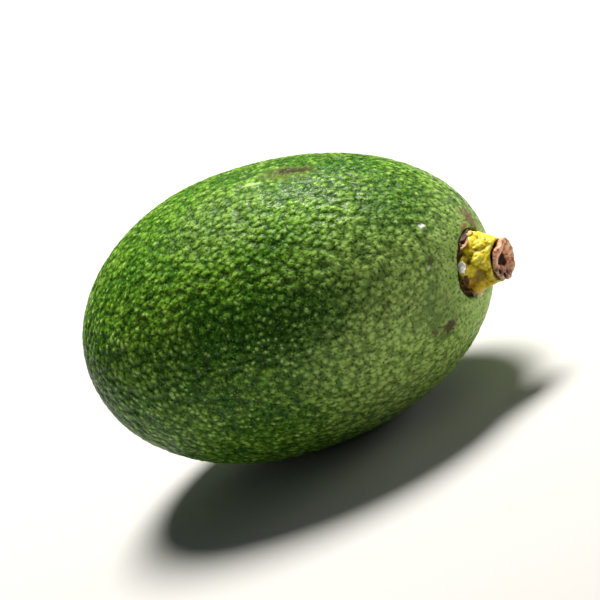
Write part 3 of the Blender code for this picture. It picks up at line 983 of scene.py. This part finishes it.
def cupped(place):
    radius, turn = math.hypot(place.x, place.y), math.atan2(place.y, place.x)
    top = smoothstep(*TOP_FROM, place.z)
    inner = 1 - smoothstep(*HOLLOW_TO, radius)
    peak = bell(math.remainder(turn - PEAK_TURN, 2 * math.pi), PEAK_SPREAD)
    near_side = bell(math.remainder(turn - NEAR_TURN, 2 * math.pi), NEAR_SPREAD)

    new = Vector((place.x, place.y, 0)) * cup_outline(radius, turn, peak, near_side, inner)
    squashed = around(PEAK_TURN) * new.dot(around(PEAK_TURN)) * HOLLOW_SQUASH
    new += (around(HOLLOW_TURN) * HOLLOW_SLIDE * top - squashed) * inner

    rough = waves_at(new, ROUGH_WAVES)
    fibre = noise.noise(around(turn) * FIBRES + Vector((0, 0, radius * FIBRE_SLANT)))
    fibre *= smoothstep(*FIBRES_FROM, radius) * top
    rim = smoothstep(*RIM_FROM, radius) * top
    waves = RIM_ROUGHNESS * rough + RIM_RIPPLE_HEIGHT * math.sin(RIM_RIPPLES * turn)
    height = rim * (PEAK_RISE * peak + waves - NEAR_DROP * near_side) + FIBRE_HEIGHT * fibre
    sunk = 0.0
    for degrees, reach, width, depth in PITS:
        off_pit = (new - around(math.radians(degrees)) * reach).length
        sunk += depth * bell(off_pit, width) * top
    new.z = STEM_HEIGHT + place.z + height - sunk
    # The crest share darkens the hollow and pits as painted shade and pales the waves and fibres as
    # painted light.
    crest = smoothstep(*CREST_HEIGHTS, place.z) - SHADE_IN_PITS * sunk
    crest += LIGHT_ON_WAVES * rough * rim + LIGHT_ON_FIBRES * fibre
    return new, clamped(crest)


cup_mesh = turned_mesh("dry_stem_cup", curve_through(CUP_SIDE, CUP_STEPS), cupped)
cup = new_piece("dry_stem_cup", cup_mesh, "dry_stem_end", "stem_end_cup")
print("Cup faces:", len(cup.data.polygons))

# %% [markdown]
# ## Dried stem end
# Dry plant tissue is matt and porous. Its rim is a pinkish tan, the hollow a dark red-brown, and
# the lower side greyish where dirt has settled. Over that the colour follows the relief: painted
# shade deepens the hollow and the pits and lies low on the outside of the cup, and painted light
# pales the rim's edge and its raised waves and fibres.

# %% Dried stem tissue
CUP_TAN = "#ad5e38"
CUP_COATS = [
    # name, colour, what it follows or its patches' size, 0 there, 1 there, strength
    ("pale tan crumbs", "#eaac7e", "crumbs", 0.38, 0.62, 1.0),
    ("greyish low side", "#8c6b58", "towards low side", 0.4, 2.4, 0.8),
    ("dark specks", "#5b3226", 0.7, 0.55, 0.7, 0.4),
    # Painted shade deepens the hollow's own red-brown, and painted light pales the rim's edge.
    ("dark red-brown hollow and its painted shade", "#2e0a07", "crest", 0.62, 0.25, 1.0),
    ("painted light on the rim's edge", "#ecc7a8", "crest", 0.86, 1.0, 0.6),
]
CRUMB_SIZE = 1.1
CUP_BAND_WANDER = 0.8
# Painted shade low on the outside of the cup, where it meets the stub.
LOW_SHADE_COLOUR, LOW_SHADE_PATCHES, LOW_SHADE_FADE, LOW_SHADE_STRENGTH = "#3d2113", 2.2, (0.3, 0.6), 0.85
LOW_SHADE_HEIGHT, LOW_SHADE_OFF_AXIS = (STEM_HEIGHT + 0.5, STEM_HEIGHT - 0.1), (2.6, 3.2)


def lay_low_shade(tree, where, tan, height):
    """Patches of painted shade low on the outside of the cup."""
    flat = add(tree, "ShaderNodeVectorMath", {0: where, 1: (1, 1, 0)}, operation="MULTIPLY")
    off_axis = add(tree, "ShaderNodeVectorMath", {0: flat}, operation="LENGTH")
    patchy = patches(tree, where, LOW_SHADE_PATCHES, *LOW_SHADE_FADE)
    parts = [(height, *LOW_SHADE_HEIGHT), patchy, (off_axis, *LOW_SHADE_OFF_AXIS), LOW_SHADE_STRENGTH]
    return coat(tree, tan, LOW_SHADE_COLOUR, *parts)


def make_dried_end():
    material, tree, shader = new_material("dried stem tissue")
    where = place_in_mm(tree, STEM_ORIGIN, STEM_TURN)
    measured = measure_stem(tree, where, CUP_BAND_WANDER)
    crumbs = {"Vector": where, "Scale": 1 / CRUMB_SIZE, "Detail": 4}
    measured["crumbs"] = add(tree, "ShaderNodeTexNoise", crumbs)
    tan = lay_coats(tree, where, CUP_TAN, CUP_COATS, measured)
    finish = {
        "Base Color": lay_low_shade(tree, where, tan, measured["height"]),
        "Roughness": 0.7,
        "IOR": 1.45,
        "Normal": fine_grain(tree, where, size=0.45, depth=0.28, detail=5),
    }
    fill(tree, shader, finish)
    return material


cup.data.materials.append(make_dried_end())
print("Cup's node count:", len(cup.data.materials[0].node_tree.nodes))

# %% [markdown]
# ## The ragged ring at the stem's foot
# As the stem dries and shrinks, the skin tears round it and curls into a thin, dark brown ring
# with a torn upper edge. It is a low turned collar. Noise that runs round a circle, so that it
# closes on itself, tears its edge, and finer noise crumples it.

# %% The ring's shape
RING_SIDE = [
    (5.6, -1.5),
    (5.7, -1.15),
    (5.82, -0.9),
    (5.95, -0.85),
    (6.08, -0.95),
    (6.2, -1.2),
    (6.25, -1.5),
    (6.1, -1.8),
    (5.8, -1.85),
    (5.6, -1.5),
]
RING_STEPS = 5
TORN_FROM, TORN_OUT = (-1.7, -0.9), 0.25
TEARS = [(2.2, STUB_SEED, 1.1), (8, GRAIN_SEED, 0.8)]
CRUMPLES = [(1.3, Vector(), 0.2), (3.1, Vector(), 0.12)]
# Crumples that bulge outward are painted paler, as lit.
RING_TONE, LIGHT_ON_CRUMPLES, PALER_ABOVE = 0.45, 1.6, 0.4


def ragged(place):
    turn = math.atan2(place.y, place.x)
    upper = smoothstep(*TORN_FROM, place.z)
    tear, crumple = waves_at(around(turn), TEARS), waves_at(place, CRUMPLES)
    new = place + around(turn) * (crumple + TORN_OUT * tear) * upper
    new.z += tear * upper
    return new, clamped(RING_TONE + LIGHT_ON_CRUMPLES * crumple + PALER_ABOVE * upper)


ring_mesh = turned_mesh("torn_skin_ring", curve_through(RING_SIDE, RING_STEPS), ragged)
ring = new_piece("torn_skin_ring", ring_mesh, "dry_torn_skin", "stem_base_ring")
print("Ring faces:", len(ring.data.polygons))

# %% [markdown]
# ## Dried torn skin
# Skin that has dried to paper is dark brown and quite matt, and its brown is taken nearly to black
# as painted shade of the gap round the stem's foot. Its torn edge is paler where the fibres have
# lifted, crumples that bulge out are painted paler as lit, and a few scuffs are nearly tan.

# %% The ring's finish
# Near-black brown: partly the ring's own colour, partly painted shade of the gap round the foot.
RING_BROWN_AND_SHADE = "#1c0f08"
RING_COATS = [
    # name, colour, what it follows or its patches' size, 0 there, 1 there, strength
    ("lighter brown", "#43291a", 1.2, *PATCH_FADE, 1.0),
    ("pale torn edge", "#8f6a48", "crest", 0.75, 1.05, 0.7),
    ("tan scuffs", "#c09a78", 0.9, 0.6, 0.74, 0.5),
]


def make_torn_skin():
    material, tree, shader = new_material("dried torn skin")
    where = place_in_mm(tree, STEM_ORIGIN, STEM_TURN)
    crest = add(tree, "ShaderNodeAttribute", attribute_name="crest").outputs["Fac"]
    finish = {
        "Base Color": lay_coats(tree, where, RING_BROWN_AND_SHADE, RING_COATS, {"crest": crest}),
        "Roughness": 0.8,
        "IOR": 1.45,
        "Normal": fine_grain(tree, where, size=0.35, depth=0.15),
    }
    fill(tree, shader, finish)
    return material


ring.data.materials.append(make_torn_skin())
print("Ring's node count:", len(ring.data.materials[0].node_tree.nodes))

# %% [markdown]
# ## Flakes
# Small chips of dried skin still cling round the foot. Each is a little curled plate: a grid of
# points with a ragged outline, bent like a leaf and thickened by Solidify. One is white, a painted
# glint, and the rest are cream to brown. Those on the low side lean outwards most.

# %% Chips of dried skin
FLAKES = [
    # name, turn and outward lean in degrees, height, half length, half width, lift, colour, dirt
    # A painted highlight: a white chip where there is a glint.
    ("glint_fleck", 157, 0, -0.2, 1.1, 0.8, 0.6, "#ffffff", 0.0),
    ("skin_flake_low", 244, 50, -0.6, 1.2, 0.7, 0.3, "#f0dfc0", 0.4),
    ("skin_flake_low_small", 256, 60, -0.5, 0.8, 0.6, 0.3, "#ead7b4", 0.4),
    ("skin_flake_left", 184, 0, 0.0, 1.1, 0.5, 0.3, "#6a4630", 0.5),
    ("skin_flake_under", 224, 20, -0.3, 1.4, 0.6, 0.3, "#a98672", 0.5),
    ("skin_flake_top", 88, 0, 0.0, 1.2, 0.5, 0.3, "#b58f52", 0.5),
    ("skin_flake_top_left", 114, 10, 0.1, 1.3, 0.5, 0.35, "#b98a6a", 0.5),
]
FLAKE_SEED = 5
FLAKE_CELLS = 12
FLAKE_THICKNESS = 0.12 * MM
RIM_RAGGEDNESS, RIM_WAVES = 0.3, 2.2
FACE_CRUMPLE, FACE_WAVES = 0.12, 1.4
FLAKE_TILT = 0.5
SEAT_OFF_STUB = 0.2
OUTER_SIDE_FROM = 4
FLAKE_DIRT, FLAKE_DIRT_PATCHES, FLAKE_DIRT_FADE = "#5a3820", 0.7, (0.5, 0.7)


def flake_mesh(name, draw, half_length, half_width, lift):
    """A curled plate in its own frame, in mm: x along, y across, z away from what it lies on."""
    steps = [2 * i / FLAKE_CELLS - 1 for i in range(FLAKE_CELLS + 1)]
    seed = Vector((draw.uniform(0, 50), 0, 0))
    points = []
    for u in steps:
        for v in steps:
            rim = max(abs(u), abs(v))
            disc = Vector((u, v, 0)).normalized() * rim if rim > 0 else Vector()
            ragged_out = 1 + RIM_RAGGEDNESS * noise.noise(disc * RIM_WAVES + seed) * rim
            x, y = half_length * disc.x * ragged_out, half_width * disc.y * ragged_out
            crumple = FACE_CRUMPLE * noise.noise(Vector((x, y, 0)) * FACE_WAVES + seed)
            points.append(Vector((x, y, lift * (disc.x * 0.5 + 0.5) ** 2 + crumple)))
    row = FLAKE_CELLS + 1
    starts = [i * row + j for i in range(FLAKE_CELLS) for j in range(FLAKE_CELLS)]
    mesh = bpy.data.meshes.new(name)
    mesh.from_pydata(points, [], [(s, s + row, s + row + 1, s + 1) for s in starts])
    mesh.shade_smooth()
    return mesh


def stub_radius(height):
    """The radius of the stub's outer side at about that height."""
    side = [point for point in curve_through(STUB_SIDE, STUB_STEPS) if point[0] >= OUTER_SIDE_FROM]
    return min(side, key=lambda point: abs(point[1] - height))[0]


def flake_place(draw, turn, lean, height):
    """Where a flake sits on the stub: its own axes and its middle, in the stem's mm."""
    outward, upward = around(turn), Vector((0, 0, 1))
    tilt = draw.uniform(-FLAKE_TILT, FLAKE_TILT)
    length_way = upward.cross(outward) * math.cos(tilt) + upward * math.sin(tilt)
    facing = Matrix.Rotation(lean, 3, length_way) @ outward
    axes = Matrix((length_way, facing.cross(length_way), facing)).transposed().to_4x4()
    seat = outward * (stub_radius(height) + SEAT_OFF_STUB) + upward * height
    return Matrix.Translation(seat) @ axes


def make_flake_material(name, paint, dirt):
    material, tree, shader = new_material(name)
    where = place_in_mm(tree, STEM_ORIGIN, STEM_TURN)
    dirty = patches(tree, where, FLAKE_DIRT_PATCHES, *FLAKE_DIRT_FADE)
    finish = {
        "Base Color": coat(tree, paint, FLAKE_DIRT, dirty, dirt),
        "Roughness": 0.75,
        "IOR": 1.45,
        "Normal": fine_grain(tree, where, size=0.3, depth=0.1),
    }
    fill(tree, shader, finish)
    return material


draw = random.Random(FLAKE_SEED)
for name, degrees, lean, height, half_length, half_width, lift, paint, dirt in FLAKES:
    mesh = flake_mesh(name, draw, half_length, half_width, lift)
    mesh.transform(STEM_PLACE @ flake_place(draw, math.radians(degrees), math.radians(lean), height))
    flake = new_piece(name, mesh, "dry_torn_skin")
    flake.data.materials.append(make_flake_material("dried " + name.replace("_", " "), paint, dirt))
    thick = flake.modifiers.new("thickness", "SOLIDIFY")
    thick.thickness = FLAKE_THICKNESS
print("Flakes:", len(FLAKES))

# %% [markdown]
# ## The floor
# The fruit is shown on a plain floor, a sheet of pale, matt backdrop paper. It is large enough
# to fill every view, and it sends light back up under the fruit.

# %% Matt backdrop paper
FLOOR_SIZE = 8.0
FLOOR_COLOUR = "#c3c3c2"

half = FLOOR_SIZE / 2
corners = [(-half, -half, 0), (half, -half, 0), (half, half, 0), (-half, half, 0)]
floor_mesh = bpy.data.meshes.new("floor")
floor_mesh.from_pydata(corners, [], [(0, 1, 2, 3)])
floor = bpy.data.objects.new("floor", floor_mesh)
bpy.context.scene.collection.objects.link(floor)
paper, paper_tree, paper_shader = new_material("matt backdrop paper")
fill(paper_tree, paper_shader, {"Base Color": colour(FLOOR_COLOUR), "Roughness": 0.9, "IOR": 1.45})
floor_mesh.materials.append(paper)
print("Floor is", FLOOR_SIZE, "m wide")

# %% [markdown]
# ## Light
# The key is a wide soft light high above, so the upper side is bright and the side towards the
# camera falls into shade, as in the photograph. A weak side light opens up the stem's end, and a
# faint one behind lifts the far rim. A little even light comes from all round. The lights'
# directions are given in the camera's axes, and each lamp is turned towards the fruit.

# %% Lights and surroundings
LIGHTS = [
    # name, direction in the camera's right, up and back, distance, width, watts, colour
    ("key_overhead", (-0.32, 0.93, -0.02), 0.9, 0.36, 18.5, "#fffbf4"),
    ("side_by_stem", (0.75, 0.62, 0.22), 1.2, 0.5, 2.2, "#fffdf8"),
    ("rim_behind", (0.6, 0.72, -0.35), 0.8, 0.25, 0.6, "#ffffff"),
]
SURROUNDINGS_COLOUR, SURROUNDINGS_STRENGTH = "#f0f3f6", 0.08

for name, direction, distance, width, watts, tint in LIGHTS:
    lamp = bpy.data.lights.new(name, "AREA")
    lamp.color = colour(tint)[:3]
    lamp.shape = "DISK"
    lamp.size = width
    lamp.energy = watts
    light = bpy.data.objects.new(name, lamp)
    toward = (photo_axes @ Vector(direction)).normalized()
    light.location = aim + toward * distance
    light.rotation_euler = toward.to_track_quat("Z", "Y").to_euler()
    bpy.context.scene.collection.objects.link(light)

world = bpy.data.worlds.new("surroundings")
world.use_nodes = True
evenly = {"Color": colour(SURROUNDINGS_COLOUR), "Strength": SURROUNDINGS_STRENGTH}
fill(world.node_tree, world.node_tree.nodes["Background"], evenly)
bpy.context.scene.world = world
bpy.context.scene.view_settings.view_transform = "Standard"
print("Lights:", [row[0] for row in LIGHTS])
